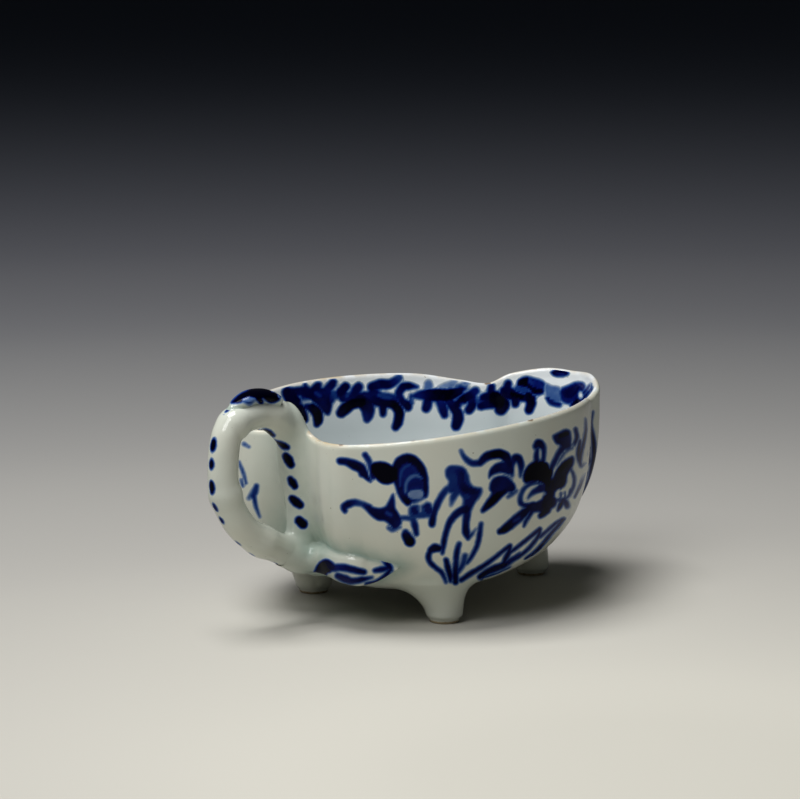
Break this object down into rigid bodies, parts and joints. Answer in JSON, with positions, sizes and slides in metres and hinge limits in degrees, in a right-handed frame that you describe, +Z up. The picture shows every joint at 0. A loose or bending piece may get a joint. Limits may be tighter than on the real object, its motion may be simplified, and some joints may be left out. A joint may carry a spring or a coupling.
{
  "type": "butter boat",
  "caption": "Small porcelain butter boat: a heart-shaped bowl with a pouring lip, a stalk handle with a thumb scroll and a leaf at its root, and peg feet, painted in blue.",
  "frame": {"origin": "middle of the part's outline in plan, on the surface the three feet stand on", "axes": "+X from the handle towards the pouring lip, +Z up, +Y to the left of someone who looks from the handle towards the lip"},
  "size_m": [0.1016, 0.0686, 0.0473],
  "materials": {
    "glazed_porcelain": "gloss",
    "glazed_porcelain_handle": "gloss",
    "cobalt_painted_scroll": "gloss",
    "glazed_porcelain_leaf": "gloss",
    "glazed_porcelain_feet": "gloss"
  },
  "bodies": {
    "root": {"bowl": "glazed_porcelain", "handle": "glazed_porcelain_handle", "thumb_scroll": "cobalt_painted_scroll", "leaf_terminal": "glazed_porcelain_leaf", "rear_foot_near": "glazed_porcelain_feet", "rear_foot_far": "glazed_porcelain_feet", "front_foot": "glazed_porcelain_feet"}
  },
  "joints": []
}
